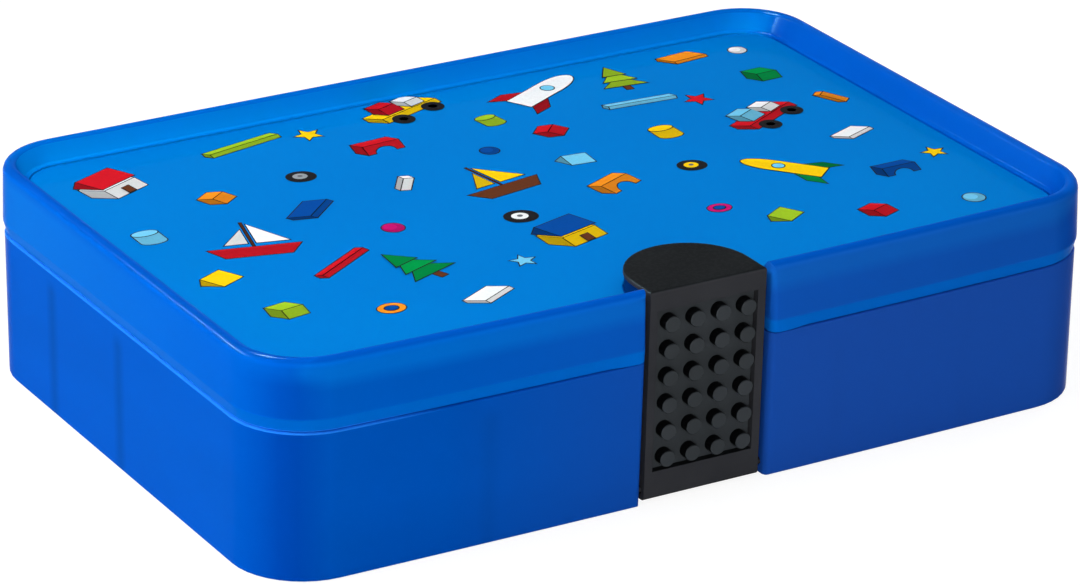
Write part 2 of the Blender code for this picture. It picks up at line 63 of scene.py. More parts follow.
# Camera, in metres and radians, and its sensor in millimetres
camera_azimuth = math.radians(-30.48)
camera_elevation = math.radians(23.12)
camera_distance = 1.42854
camera_roll = math.radians(0.68)
camera_target = Vector((-0.00329, 0, 0.02727))
sensor_width = 36
nearest_seen = 0.05
farthest_seen = 20

# Light: strengths of the world, and each lamp's name, place and size in metres, watts and use.
# The matte lamps light the surfaces. The gloss lamps only show as highlights on rounded edges.
overhead_light = 0.75
horizon_light = 0.1
dome_span = (0.25, 0.95)
LAMPS = (
    ("key_left", (-0.45, 0.00, 0.62), (0.3, 0.3), 3.2, "matte"),
    ("low_left", (-1.15, 0.30, 0.05), (0.6, 0.05), 4.4, "matte"),
    ("fill_front", (-0.36, -0.80, 0.25), (0.5, 0.4), 2.6, "matte"),
    ("fill_rear", (0.95, 0.40, 0.40), (0.4, 0.4), 3.0, "matte"),
    ("gloss_overhead", (-0.20, 0.50, 1.15), (0.3, 0.3), 800, "gloss"),
    ("gloss_strip", (-0.86, 0.65, 0.60), (0.83, 0.10), 400, "gloss"),
)
LAMP_TINTS = {"matte": (1, 1, 1), "gloss": (0.6, 0.92, 1)}

# Floor: its gap under the box and how far it reaches from the middle, in metres, its glow, its
# greys and its roughness
floor_gap = 0.0002
floor_reach = 3.0
floor_glow = 0.88
floor_grey = 0.5
shadow_grey = 0.2
floor_roughness = 0.7

# Print on the lid, in metres
sheet_low, sheet_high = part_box("lid_print_sheet")
sheet_half = (sheet_high - sheet_low) / 2
sheet_middle = (sheet_high + sheet_low) / 2
ink_thickness = 0.00004
outline_width = 0.00035

# Grain of the finishes, in grains a metre, with the stretch of flow lines and drawn streaks
flow_grain = 14
flow_stretch = (1, 1, 2.5)
skin_grain = 30
peel_grain = 160
sheet_grain = 10
screen_grain = 1500
sheen_grain = 400
black_tone_grain = 60
matt_grain = 900
spark_grain = 3000
streak_grain = 900
streak_stretch = (0.03, 1, 1)

# How smooth, how shiny and how rough the finishes are, with the depth of their grain in metres
satin_roughness = (0.10, 0.13)
grained_roughness = (0.24, 0.30)
steel_roughness = (0.55, 0.70)
polished_roughness = 0.3
plastic_ior = 1.49
blue_specular = 0.002
print_specular = 0.001
black_specular = 0.003
polished_specular = 0.02
peel_strength = 0.04
spark_strength = 0.08
bump_depth = 0.0001

# Colours of the plastics, the sheet and the steel, how much grain shades some of them, and the
# colour in which the blue plastic and the sheet mirror the lamps
lid_blue = (0, 95, 205)
tub_blue = (0, 87, 195)
sheet_blues = ((0, 118, 203), (0, 123, 208))
gloss_blue = (170, 235, 255)
# painted shade: the black plastic's level faces darker
level_shade_blacks = ((21, 23, 25), (27, 29, 31))
latch_black = (55, 56, 60)
# the stud plate's black, painted lighter than the latch's against the shade between the studs
stud_lightened_black = (60, 64, 67)
# painted shade on the studs' sides
stud_side_shade_black = (9, 10, 12)
steel_greys = ((150, 152, 155), (190, 191, 193))
flow_shades = (0.98, 1.02)
screen_shade = 0.96
spark_shade = 1.1

# Between which parts of the surface's normal a face turns from upright to level, and from a
# stud's side to its end
level_facing = (0.4, 0.8)
stud_end_facing = (0.3, 0.6)

# Painted light and shade laid on the blue plastic, standing in for light passing through it and
# falling on it. A span gives the places in metres between which a tone fades, a core and a blur
# say how wide a line is, and a share says how strong the tone grows. First those of both the tub
# and the lid: a painted highlight along the seam, painted shade at the round corners, and a right
# half painted darker.
seam_z = 0.0430
# painted highlight along the seam at the left end of the box
seam_highlight_blue = (40, 140, 255)
seam_highlight_core = 0.0005
seam_highlight_blur = 0.0001
seam_highlight_span = (-0.105, -0.080)
seam_highlight_share = 0.7
# painted shade at the round corners
corner_shade_tint = (1, 0.82, 0.91)
corner_x = 0.1245
corner_core = 0.002
corner_blur = 0.008
corner_span = (0.062, 0.072)
# painted shade: the right half darker, as the light falls off away from the left
right_shade_blue = (34, 84, 182)
right_shade_span = (-0.08, 0.03)
lid_right_shade_share = 0.4
tub_right_shade_share = 0.8

# Painted shade on the tub alone: soft dark lines where the dividers stand behind its walls.
# Their top fades between two depths under the seam.
LONG_DIVIDERS = ("divider_long_middle", "divider_long_rear")
FRONT_DIVIDERS = ("divider_front_1", "divider_front_2", "divider_front_3")
line_shade = 0.72
line_core = 0.0005
line_blur = 0.0034
line_top_depths = (0.006, 0.002)
wall_depth = 0.004
side_shade_share = 0.42
front_shade_share = 0.16

# Painted light and shade on the lid's outer walls: a lighter band under the rim, a lighter far
# left end, darker corners and a lighter lip. The wall depths are counted from the lid's own front
# and sides.
front_wall_depths = (0.0045, 0.0065)
side_wall_depths = (0.0045, 0.0025)
# painted light: a lighter band under the rim
rim_light_blue = (2, 118, 224)
rim_z = 0.0595
rim_core = 0.0012
rim_blur = 0.0038
rim_light_share = 0.8
# painted light: a lighter far left end
far_left_light_blue = (8, 112, 212)
far_left_x_span = (-0.128, -0.118)
far_left_y_span = (-0.060, 0.070)
far_left_z_span = (0.0590, 0.0625)
far_left_share = 0.9
corner_top_span = (0.0560, 0.0600)
corner_top_share = 0.25
# painted light: a lighter lip
lip_light_blue = (0, 114, 222)
lip_core = 0.0035
lip_blur = 0.0008
lip_span = (-0.131, -0.120)
lip_light_shares = (0.6, 0.85)

# Painted light and shade on the lid's recess and rim: a lighter rear slope, a painted highlight
# at its foot and a darker crest. A facing is a span of the surface's normal, from -1 straight to
# the front to 1 straight to the rear or up.
slope_facing = (-0.5, -0.2)
rear_wall_facing = (0.02, 0.1)
crest_facing = (0.4, 0.7)
rear_span = (0.070, 0.080)
# painted light on the rear slope and a painted highlight at its foot
slope_light_blue = (2, 129, 226)
slope_foot_light_blue = (0, 150, 234)
slope_x_span = (-0.125, 0.03)
slope_x_share = 0.6
slope_z_span = (0.0583, 0.0625)
slope_z_share = 0.5
hollow_span = (0.0570, 0.0583)
hollow_share = 0.8
foot_z = 0.0565
foot_core = 0.0006
foot_blur = 0.0004
foot_highlight_share = 0.8
# painted shade on the rim's crest
crest_shade_blue = (0, 82, 186)
rear_crest_shade_blue = (0, 101, 201)
crest_span = (0.0618, 0.0624)
left_crest_span = (-0.121, -0.113)

# Painted shade on the boss under the latch's pad, on its round side and not on its front
boss_shade_blue = (4, 40, 82)
boss_shade_share = 0.85
boss_blur = 0.0004
boss_front_facing = (-0.9, -0.7)

# Shading of the CAD nodes: how near the points lie that are joined, in metres, the angle from
# which an edge stays crisp, and the weight of the flat faces
join_reach = 0.000001
crisp_angle = math.radians(30)
flat_weight = 60


def srgb(red, green, blue):
    """A colour given in 0 to 255 as the eye sees it, in the linear values that a shader takes."""
    linear = []
    for value in (red, green, blue):
        share = value / 255
        linear.append(share / 12.92 if share <= 0.04045 else ((share + 0.055) / 1.055) ** 2.4)
    return (*linear, 1)


def grey(level):
    return (level, level, level, 1)


def shaded(colour, share):
    return tuple(round(value * share) for value in colour)


def tinted(colour, shares):
    return tuple(round(value * share) for value, share in zip(colour, shares))


def new_material(name):
    """A fresh Principled material with its node tree and the shader."""
    material = bpy.data.materials.new(name)
    material.use_nodes = True
    return material, material.node_tree, material.node_tree.nodes["Principled BSDF"]


def coordinates(tree, kind):
    """The three parts of a texture coordinate: Object is the place on the object in metres,
    Normal is the way its surface faces, and Generated is the direction in the world."""
    place = tree.nodes.new("ShaderNodeTexCoord")
    parts = tree.nodes.new("ShaderNodeSeparateXYZ")
    tree.links.new(place.outputs[kind], parts.inputs[0])
    return parts.outputs


def noise(tree, scale, detail=3.0, stretch=(1, 1, 1)):
    """Noise over the object's own coordinates, at so many grains a metre."""
    place = tree.nodes.new("ShaderNodeTexCoord")
    mapping = tree.nodes.new("ShaderNodeMapping")
    mapping.inputs["Scale"].default_value = stretch
    texture = tree.nodes.new("ShaderNodeTexNoise")
    texture.inputs["Scale"].default_value = scale
    texture.inputs["Detail"].default_value = detail
    tree.links.new(place.outputs["Object"], mapping.inputs["Vector"])
    tree.links.new(mapping.outputs["Vector"], texture.inputs["Vector"])
    return texture.outputs["Fac"]


def remap(tree, value, low, high, from_low=0.3, from_high=0.7):
    """Turns from_low into low and from_high into high, and stays there beyond them. Where they
    aren't given, the value is noise, which mostly keeps between 0.3 and 0.7."""
    node = tree.nodes.new("ShaderNodeMapRange")
    node.inputs["From Min"].default_value = from_low
    node.inputs["From Max"].default_value = from_high
    node.inputs["To Min"].default_value = low
    node.inputs["To Max"].default_value = high
    tree.links.new(value, node.inputs["Value"])
    return node.outputs["Result"]


def math_node(tree, operation, first, second=0, *more):
    """Arithmetic on one value after another. Each is an output or a number."""
    node = tree.nodes.new("ShaderNodeMath")
    node.operation = operation
    for socket, value in zip(node.inputs, (first, second)):
        if isinstance(value, (int, float)):
            socket.default_value = value
        else:
            tree.links.new(value, socket)
    total = node.outputs[0]
    return math_node(tree, operation, total, *more) if more else total


def product(tree, *values):
    return math_node(tree, "MULTIPLY", *values)


def largest(tree, *values):
    return math_node(tree, "MAXIMUM", *values)


def near(tree, value, centre, half_width, softness):
    """1 within half_width of the centre, fading to 0 over the softness."""
    offset = math_node(tree, "ABSOLUTE", math_node(tree, "SUBTRACT", value, centre))
    return remap(tree, offset, 1, 0, half_width, half_width + softness)


def mixed(tree, share, first, second):
    """A mix of two colours. Each is an output or a plain colour."""
    mix = tree.nodes.new("ShaderNodeMix")
    mix.data_type = "RGBA"
    tree.links.new(share, mix.inputs["Factor"])
    for name, colour in (("A", first), ("B", second)):
        if isinstance(colour, tuple):
            mix.inputs[name].default_value = colour
        else:
            tree.links.new(colour, mix.inputs[name])
    return mix.outputs["Result"]


def mixed_shader(tree, share, first, second, output):
    mix = tree.nodes.new("ShaderNodeMixShader")
    tree.links.new(share, mix.inputs["Fac"])
    tree.links.new(first, mix.inputs[1])
    tree.links.new(second, mix.inputs[2])
    tree.links.new(mix.outputs[0], output)


def add_bump(tree, shader, height, strength):
    bump = tree.nodes.new("ShaderNodeBump")
    bump.inputs["Strength"].default_value = strength
    bump.inputs["Distance"].default_value = bump_depth
    tree.links.new(height, bump.inputs["Height"])
    tree.links.new(bump.outputs["Normal"], shader.inputs["Normal"])


def upright(tree):
    """How far the surface stands upright, from 0 where it faces up or down to 1."""
    level = math_node(tree, "ABSOLUTE", coordinates(tree, "Normal")["Z"])
    return remap(tree, level, 1, 0, *level_facing)


def blue_plastic(name, colour):
    """Dyed polypropylene: a satin skin over a faint flow pattern. Also returns the output that
    gives its colour."""
    material, tree, shader = new_material(name)
    flow = remap(tree, noise(tree, flow_grain, detail=2, stretch=flow_stretch), 0, 1)
    blue = mixed(tree, flow, *(srgb(*shaded(colour, share)) for share in flow_shades))
    tree.links.new(blue, shader.inputs["Base Color"])
    roughness = remap(tree, noise(tree, skin_grain), *satin_roughness)
    tree.links.new(roughness, shader.inputs["Roughness"])
    shader.inputs["IOR"].default_value = plastic_ior
    shader.inputs["Specular IOR Level"].default_value = blue_specular
    shader.inputs["Specular Tint"].default_value = srgb(*gloss_blue)
    add_bump(tree, shader, noise(tree, peel_grain, detail=2), peel_strength)
    return material, tree, shader, blue


def lay_tones(tree, shader, blue, tones):
    """Lays painted light and shade over the plastic's blue, one tone over the other. Each is a
    share and a colour.
    """
    for share, colour in tones:
        blue = mixed(tree, share, blue, srgb(*colour))
    tree.links.new(blue, shader.inputs["Base Color"])


def painted_corner_shade(tree, x, y):
    """Where the round corners are painted darker, as shade where light crosses more plastic, from 0
    on the walls to 1.
    """
    along = near(tree, math_node(tree, "ABSOLUTE", x), corner_x, corner_core, corner_blur)
    at_end = remap(tree, math_node(tree, "ABSOLUTE", y), 0, 1, *corner_span)
    return product(tree, along, at_end)


def painted_seam_highlight(tree, x, z):
    """A painted highlight: the thin pale line along the seam's edges, at the left end of the box.
    """
    at_left = remap(tree, x, seam_highlight_share, 0, *seam_highlight_span)
    return product(tree, near(tree, z, seam_z, seam_highlight_core, seam_highlight_blur), at_left)


def lid_wall_tones(tree, x, y, z, at_front, outside):
    """Painted light and shade: a lighter band under the rim, a lighter far left end, a darker right
    half, darker corners, the lip, which is one wall thick and is painted lighter as light passing
    through it, and a painted highlight along the seam."""
    rim_light = near(tree, z, rim_z, rim_core, rim_blur)
    far_left = product(
        tree,
        remap(tree, x, 1, 0, *far_left_x_span),
        remap(tree, y, 0, far_left_share, *far_left_y_span),
        remap(tree, z, 1, 0, *far_left_z_span),
    )
    at_right = remap(tree, x, 0, lid_right_shade_share, *right_shade_span)
    below_crest = remap(tree, z, 1, corner_top_share, *corner_top_span)
    on_lip = near(tree, z, seam_z, lip_core, lip_blur)
    return (
        (product(tree, at_front, rim_light, rim_light_share), rim_light_blue),
        (far_left, far_left_light_blue),
        (product(tree, outside, at_right), right_shade_blue),
        (product(tree, painted_corner_shade(tree, x, y), below_crest), tinted(lid_blue, corner_shade_tint)),
        (product(tree, on_lip, remap(tree, x, *lip_light_shares, *lip_span)), lip_light_blue),
        (painted_seam_highlight(tree, x, z), seam_highlight_blue),
    )


def lid_rim_tones(tree, x, y, z, at_front, normal):
    """Painted light and shade: the recess's rear slope painted lighter, more towards its foot and
    its left end, a painted highlight along the foot itself, and the rim's crest painted darker,
    more at the left and the front than at the rear."""
    at_rear = remap(tree, y, 0, 1, *rear_span)
    on_slope = product(tree, remap(tree, normal["Y"], 1, 0, *slope_facing), at_rear)
    to_left = remap(tree, x, slope_x_share, 0, *slope_x_span)
    to_foot = remap(tree, z, slope_z_share, 0, *slope_z_span)
    in_hollow = remap(tree, z, hollow_share, 0, *hollow_span)
    lighter = math_node(tree, "SUBTRACT", math_node(tree, "ADD", to_left, to_foot), in_hollow)
    in_recess = product(tree, at_rear, remap(tree, normal["Y"], 1, 0, *rear_wall_facing))
    foot_highlight = near(tree, z, foot_z, foot_core, foot_blur)
    level = remap(tree, normal["Z"], 0, 1, *crest_facing)
    on_crest = product(tree, level, remap(tree, z, 0, 1, *crest_span))
    near_side = largest(tree, remap(tree, x, 1, 0, *left_crest_span), at_front)
    return (
        (on_slope, slope_light_blue),
        (product(tree, on_slope, lighter), slope_foot_light_blue),
        (product(tree, foot_highlight, in_recess, foot_highlight_share), slope_foot_light_blue),
        (product(tree, on_crest, near_side), crest_shade_blue),
        (product(tree, on_crest, at_rear), rear_crest_shade_blue),
    )


def painted_boss_shade(tree, x, y, z, normal):
    """The boss's round side is painted dark, as shade under the pad with the black latch showing
    through it.
    """
    pad_low, pad_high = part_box("latch_body")
    pad_radius = (pad_high.x - pad_low.x) / 2
    pad_y = pad_high.y - pad_radius
    y_squared = math_node(tree, "POWER", math_node(tree, "SUBTRACT", y, pad_y), 2)
    away = math_node(tree, "SQRT", math_node(tree, "ADD", y_squared, product(tree, x, x)))
    under_pad = remap(tree, away, 1, 0, pad_radius, pad_radius + boss_blur)
    not_front = remap(tree, normal["Y"], 0, 1, *boss_front_facing)
    above_sheet = remap(tree, z, 0, boss_shade_share, sheet_low.z, sheet_high.z)
    return product(tree, upright(tree), not_front, above_sheet, under_pad), boss_shade_blue


def lid_plastic():
    """The lid's plastic, with painted light and shade laid over it, standing in for light passing
    through it.
    """
    material, tree, shader, blue = blue_plastic("blue_plastic", lid_blue)
    x, y, z = coordinates(tree, "Object")
    normal = coordinates(tree, "Normal")
    lid_low, lid_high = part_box("lid_shell")
    at_front = remap(tree, y, 1, 0, *(lid_low.y + depth for depth in front_wall_depths))
    from_middle = math_node(tree, "ABSOLUTE", x)
    at_side = remap(tree, from_middle, 0, 1, *(lid_high.x - depth for depth in side_wall_depths))
    outside = largest(tree, at_side, at_front)
    tones = (
        *lid_wall_tones(tree, x, y, z, at_front, outside),
        *lid_rim_tones(tree, x, y, z, at_front, normal),
        painted_boss_shade(tree, x, y, z, normal),
    )
    lay_tones(tree, shader, blue, tones)
    return material


def divider_middle(name):
    low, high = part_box(name)
    return (low + high) / 2


def divider_shade_line(tree, value, centre):
    return near(tree, value, centre, line_core, line_blur)


def tub_plastic():
    """The tub's plastic, with painted shade as soft dark lines where the dividers stand behind its
    walls, and painted light and shade at its corners, seam and right half.
    """
    material, tree, shader, blue = blue_plastic("deep_blue_plastic", tub_blue)
    x, y, z = coordinates(tree, "Object")
    tub_low, tub_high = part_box("base_tub")
    side_depths = (tub_high.x - wall_depth, tub_high.x - wall_depth / 2)
    front_depths = (tub_low.y + wall_depth, tub_low.y + wall_depth * 1.5)
    from_middle = math_node(tree, "ABSOLUTE", x)
    on_side = remap(tree, from_middle, 0, side_shade_share, *side_depths)
    on_front = remap(tree, y, front_shade_share, 0, *front_depths)
    side_lines = [divider_shade_line(tree, y, divider_middle(name).y) for name in LONG_DIVIDERS]
    front_lines = [divider_shade_line(tree, x, divider_middle(name).x) for name in FRONT_DIVIDERS]
    lines = largest(
        tree,
        product(tree, on_side, largest(tree, *side_lines)),
        product(tree, on_front, largest(tree, *front_lines)),
    )
    below_seam = remap(tree, z, 1, 0, *(seam_z - depth for depth in line_top_depths))
    tones = (
        (product(tree, lines, below_seam), shaded(tub_blue, line_shade)),
        (painted_corner_shade(tree, x, y), tinted(tub_blue, corner_shade_tint)),
        (painted_seam_highlight(tree, x, z), seam_highlight_blue),
        (remap(tree, x, 0, tub_right_shade_share, *right_shade_span), right_shade_blue),
    )
    lay_tones(tree, shader, blue, tones)
    return material


def sheet_plastic():
    """The printed sheet's blue ground, under a clear skin."""
    material, tree, shader = new_material("printed_sheet_blue")
    tone = remap(tree, noise(tree, sheet_grain, detail=2), 0, 1)
    colour = mixed(tree, tone, *(srgb(*blue) for blue in sheet_blues))
    tree.links.new(colour, shader.inputs["Base Color"])
    roughness = remap(tree, noise(tree, sheen_grain), *satin_roughness)
    tree.links.new(roughness, shader.inputs["Roughness"])
    shader.inputs["Specular IOR Level"].default_value = print_specular
    shader.inputs["Specular Tint"].default_value = srgb(*gloss_blue)
    return material


def ink(name, colour):
    """Printed ink: the colour with a fine screen grain, and the sheet's own sheen."""
    material, tree, shader = new_material(f"ink_{name}")
    grain = remap(tree, noise(tree, screen_grain, detail=2), 0, 1)
    screened = mixed(tree, grain, srgb(*shaded(colour, screen_shade)), srgb(*colour))
    tree.links.new(screened, shader.inputs["Base Color"])
    roughness = remap(tree, noise(tree, sheen_grain), *satin_roughness)
    tree.links.new(roughness, shader.inputs["Roughness"])
    shader.inputs["Specular IOR Level"].default_value = print_specular
    return material


def black_plastic(name, black):
    """Black moulded plastic with a fine spark-eroded grain, its level faces painted darker as
    shade.
    """
    material, tree, shader = new_material(name)
    tone = remap(tree, noise(tree, black_tone_grain), 0, 1)
    level_shade = mixed(tree, tone, *(srgb(*level_shade_black) for level_shade_black in level_shade_blacks))
    grained = mixed(tree, tone, srgb(*black), srgb(*shaded(black, spark_shade)))
    tree.links.new(mixed(tree, upright(tree), level_shade, grained), shader.inputs["Base Color"])
    roughness = remap(tree, noise(tree, matt_grain), *grained_roughness)
    tree.links.new(roughness, shader.inputs["Roughness"])
    shader.inputs["Specular IOR Level"].default_value = black_specular
    add_bump(tree, shader, noise(tree, spark_grain, detail=2), spark_strength)
    return material, tree, shader


def stud_plastic():
    """The same black on the plate and the studs' ends. The studs' sides are polished and painted
    darker as shade.
    """
    material, tree, shader = black_plastic("black_stud_plastic", stud_lightened_black)
    polished_shaded_sides = tree.nodes.new("ShaderNodeBsdfPrincipled")
    polished_shaded_sides.inputs["Base Color"].default_value = srgb(*stud_side_shade_black)
    polished_shaded_sides.inputs["Roughness"].default_value = polished_roughness
    polished_shaded_sides.inputs["Specular IOR Level"].default_value = polished_specular
    facing = math_node(tree, "ABSOLUTE", coordinates(tree, "Normal")["Y"])
    at_end = remap(tree, facing, 0, 1, *stud_end_facing)
    output = tree.nodes["Material Output"].inputs["Surface"]
    mixed_shader(tree, at_end, polished_shaded_sides.outputs[0], shader.outputs[0], output)
    return material


def pin_steel():
    """Drawn steel wire, with streaks along it."""
    material, tree, shader = new_material("drawn_steel")
    streaks = noise(tree, streak_grain, detail=2, stretch=streak_stretch)
    drawn = mixed(tree, streaks, *(srgb(*steel_grey) for steel_grey in steel_greys))
    tree.links.new(drawn, shader.inputs["Base Color"])
    tree.links.new(remap(tree, streaks, *steel_roughness), shader.inputs["Roughness"])
    shader.inputs["Metallic"].default_value = 1.0
    return material


def round_the_shading(node):
    """Shades the faceted rounds of a CAD node as smooth ones, and leaves its edges and flats crisp.
    The node's faces share no vertices, so they are joined first. The mesh itself stays as it is."""
    node.data.shade_smooth()
    weld = node.modifiers.new("join_faces", "WELD")
    weld.merge_threshold = join_reach
    split = node.modifiers.new("crisp_edges", "EDGE_SPLIT")
    split.split_angle = crisp_angle
    flats = node.modifiers.new("flat_faces", "WEIGHTED_NORMAL")
    flats.mode = "FACE_AREA"
    flats.weight = flat_weight
    flats.keep_sharp = True


def paint_nodes():
    black = black_plastic("black_grained_plastic", latch_black)[0]
    steel = pin_steel()
    blue = blue_plastic("divider_blue_plastic", tub_blue)[0]
    finishes = {
        "base_tub": tub_plastic(),
        "lid_shell": lid_plastic(),
        "latch_body": black,
        "latch_pin": black,
        "latch_stud_plate": stud_plastic(),
        "lid_print_sheet": sheet_plastic(),
        "hinge_pin_left": steel,
        "hinge_pin_right": steel,
    }
    for name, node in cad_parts.items():
        round_the_shading(node)
        material = finishes.get(name, blue)
        if not node.material_slots:
            node.data.materials.append(material)
        for place in node.material_slots:
            place.material = material


INKS = {
    "red": (206, 24, 38),
    "yellow": (250, 208, 16),
    "lime": (158, 198, 40),
    "green": (0, 150, 72),
    "orange": (246, 148, 34),
    "white": (242, 246, 248),
    "grey": (150, 158, 166),
    "sky": (116, 204, 240),
    "navy": (6, 74, 158),
    "brown": (116, 62, 36),
    "magenta": (196, 20, 112),
    "black": (34, 34, 38),
}
TONE_SHARES = {"light": 1.0, "mid": 0.86, "dark": 0.70}

# Growing an outline: under the first value a corner folds back on itself and stays where it
# is, and the second keeps the tip of a sharp corner from moving far away
least_bisector = 0.2
least_spread = 0.35


class Print:
    """Collects the faces of the printed motifs in one mesh, a material for each ink and tone."""

    def __init__(self):
        self.bm = bmesh.new()
        self.materials = []
        self.names = []

    def material_index(self, colour, tone):
        name = f"{colour}_{tone}"
        if name not in self.names:
            self.names.append(name)
            self.materials.append(ink(name, shaded(INKS[colour], TONE_SHARES[tone])))
        return self.names.index(name)

    def polygon(self, points, colour, tone, layer):
        """A flat face, so many layers of ink above the sheet."""
        z = sheet_high.z + ink_thickness * (1 + layer)
        verts = [self.bm.verts.new((x, y, z)) for x, y in points]
        face = self.bm.faces.new(verts)
        face.material_index = self.material_index(colour, tone)

    def finish(self, name):
        """Makes the object, with all its faces turned up, and lets it ride on the lid."""
        mesh = bpy.data.meshes.new(name)
        for face in self.bm.faces:
            face.normal_update()
            if face.normal.z < 0:
                face.normal_flip()
        self.bm.to_mesh(mesh)
        self.bm.free()
        for material in self.materials:
            mesh.materials.append(material)
        obj = bpy.data.objects.new(name, mesh)
        bpy.context.scene.collection.objects.link(obj)
        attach(obj, "lid")


def signed_area(points):
    """Positive where the points run anticlockwise."""
    following = points[1:] + points[:1]
    return sum(a[0] * b[1] - b[0] * a[1] for a, b in zip(points, following)) / 2


def grown(points, amount):
    """The outline moved outwards by amount on every side, or inwards where it is negative."""
    if signed_area(points) < 0:
        points = points[::-1]
    moved = []
    for before, here, after in zip(points[-1:] + points[:-1], points, points[1:] + points[:1]):
        first = (Vector(here) - Vector(before)).normalized()
        second = (Vector(after) - Vector(here)).normalized()
        bisector = Vector((first.y + second.y, -first.x - second.x))
        if bisector.length < least_bisector:
            moved.append(tuple(here))
            continue
        bisector.normalize()
        spread = max(bisector.dot(Vector((first.y, -first.x))), least_spread)
        reach = amount / spread
        moved.append((here[0] + bisector.x * reach, here[1] + bisector.y * reach))
    return moved


class Motif:
    """One printed figure, turned and set on the sheet. Its outlines are in units of its size."""

    def __init__(self, sheet_print, x, y, turn, size):
        self.print = sheet_print
        self.place = Matrix.Translation((x, y, 0)) @ Matrix.Rotation(math.radians(turn), 4, "Z")
        self.size = size
        self.layer = 0

    def face(self, points, colour, tone="light", outlined=True):
        """A filled face. The dark line round it is a wider face under it."""
        placed = [self.place @ Vector((x * self.size, y * self.size, 0)) for x, y in points]
        flat = [(p.x, p.y) for p in placed]
        if outlined:
            self.print.polygon(grown(flat, outline_width / 2), "black", "light", self.layer)
            flat = grown(flat, -outline_width / 2)
        self.print.polygon(flat, colour, tone, self.layer + 1)

    def raise_layer(self):
        """Lifts what follows over a face and the wider one under it."""
        self.layer += 2


def ellipse(x, y, radius_x, radius_y, start=0, end=360, steps=28):
    """Points round an ellipse, or along its arc from start to end in degrees."""
    count = steps if end - start == 360 else steps + 1
    angles = [math.radians(start + (end - start) * i / steps) for i in range(count)]
    return [(x + radius_x * math.cos(a), y + radius_y * math.sin(a)) for a in angles]


# The slanted view in which the blocks are drawn: where a unit step along each edge goes
ACROSS = Vector((0.88, 0.26))
AWAY = Vector((-0.52, 0.44))
UP = Vector((0, 0.80))

# The arch's gateway: half its width and its height in shares of the block's, and its steps
gateway_half = 0.28
gateway_height = 0.62
gateway_steps = 12


def slanted(length, depth, height, x=0, y=0):
    """The corners of a block in the slanted view, by (side, back, top) flags."""
    start = Vector((x, y))
    corners = {}
    for side in (0, 1):
        for back in (0, 1):
            for top in (0, 1):
                place = start + ACROSS * length * side + AWAY * depth * back + UP * height * top
                corners[side, back, top] = tuple(place)
    return corners


def block(motif, colour, length=1.0, depth=1.0, height=1.0, x=0.0, y=0.0):
    """A toy block: its front, its left side and its top."""
    c = slanted(length, depth, height, x, y)
    motif.face([c[0, 0, 0], c[1, 0, 0], c[1, 0, 1], c[0, 0, 1]], colour, "mid")
    motif.face([c[0, 0, 0], c[0, 0, 1], c[0, 1, 1], c[0, 1, 0]], colour, "dark")
    motif.face([c[0, 0, 1], c[1, 0, 1], c[1, 1, 1], c[0, 1, 1]], colour, "light")


def roof(motif, colour, length=1.0, depth=1.0, height=0.8, x=0.0, y=0.0):
    """A triangular prism lying on its base."""
    c = slanted(length, depth, height, x, y)
    ridge_left = tuple((Vector(c[0, 0, 1]) + Vector(c[0, 1, 1])) / 2)
    ridge_right = tuple((Vector(c[1, 0, 1]) + Vector(c[1, 1, 1])) / 2)
    motif.face([c[0, 0, 0], ridge_left, c[0, 1, 0]], colour, "dark")
    motif.face([c[0, 0, 0], c[1, 0, 0], ridge_right, ridge_left], colour, "light")


def arch(motif, colour, length=1.6, depth=0.7, height=1.0):
    """A block with a round gateway through it."""
    c = slanted(length, depth, height)
    foot = Vector(c[0, 0, 0])
    gateway = []
    for step in range(gateway_steps + 1):
        angle = math.pi * (1 - step / gateway_steps)
        along = length * (0.5 + gateway_half * math.cos(angle))
        rise = height * gateway_height * math.sin(angle)
        gateway.append(tuple(foot + ACROSS * along + UP * rise))
    front = [c[0, 0, 0], *gateway, c[1, 0, 0], c[1, 0, 1], c[0, 0, 1]]
    motif.face(front, colour, "mid")
    motif.face([c[0, 0, 0], c[0, 0, 1], c[0, 1, 1], c[0, 1, 0]], colour, "dark")
    motif.face([c[0, 0, 1], c[1, 0, 1], c[1, 1, 1], c[0, 1, 1]], colour, "light")


def drum(motif, colour, radius=0.6, height=0.9):
    """A short cylinder standing on its end."""
    depth = radius * 0.5
    foot = ellipse(0, 0, radius, depth, 180, 360)
    head = ellipse(0, height, radius, depth, 0, 180)
    motif.face(foot + head, colour, "mid")
    motif.raise_layer()
    motif.face(ellipse(0, height, radius, depth), colour, "light")


def wheel(motif, colour, radius=0.7):
    """A tyre with a hub."""
    motif.face(ellipse(radius * 0.14, 0, radius * 0.86, radius * 0.8), "black", "mid")
    motif.raise_layer()
    motif.face(ellipse(0, 0, radius * 0.86, radius * 0.8), "black", "light")
    motif.raise_layer()
    motif.face(ellipse(0, 0, radius * 0.5, radius * 0.46), colour, "light")
    motif.raise_layer()
    motif.face(ellipse(0, 0, radius * 0.16, radius * 0.15), "grey", "dark", outlined=False)


def ball(motif, colour, radius=0.5):
    """A ball with a gleam on it."""
    motif.face(ellipse(0, 0, radius, radius), colour, "mid")
    motif.raise_layer()
    gleam = ellipse(-radius * 0.2, radius * 0.2, radius * 0.6, radius * 0.6)
    motif.face(gleam, colour, "light", outlined=False)


def star(motif, colour, radius=0.7):
    """A star with five points."""
    points = []
    for step in range(10):
        reach = radius if step % 2 == 0 else radius * 0.46
        angle = math.radians(90 + 36 * step)
        points.append((reach * math.cos(angle), reach * math.sin(angle)))
    motif.face(points, colour, "light")


def ring(motif, colour, radius=0.55):
    """A flat ring. The hole is a face of navy ink on it."""
    motif.face(ellipse(0, 0, radius, radius * 0.8), colour, "light")
    motif.raise_layer()
    motif.face(ellipse(0, 0, radius * 0.5, radius * 0.4), "navy", "light")


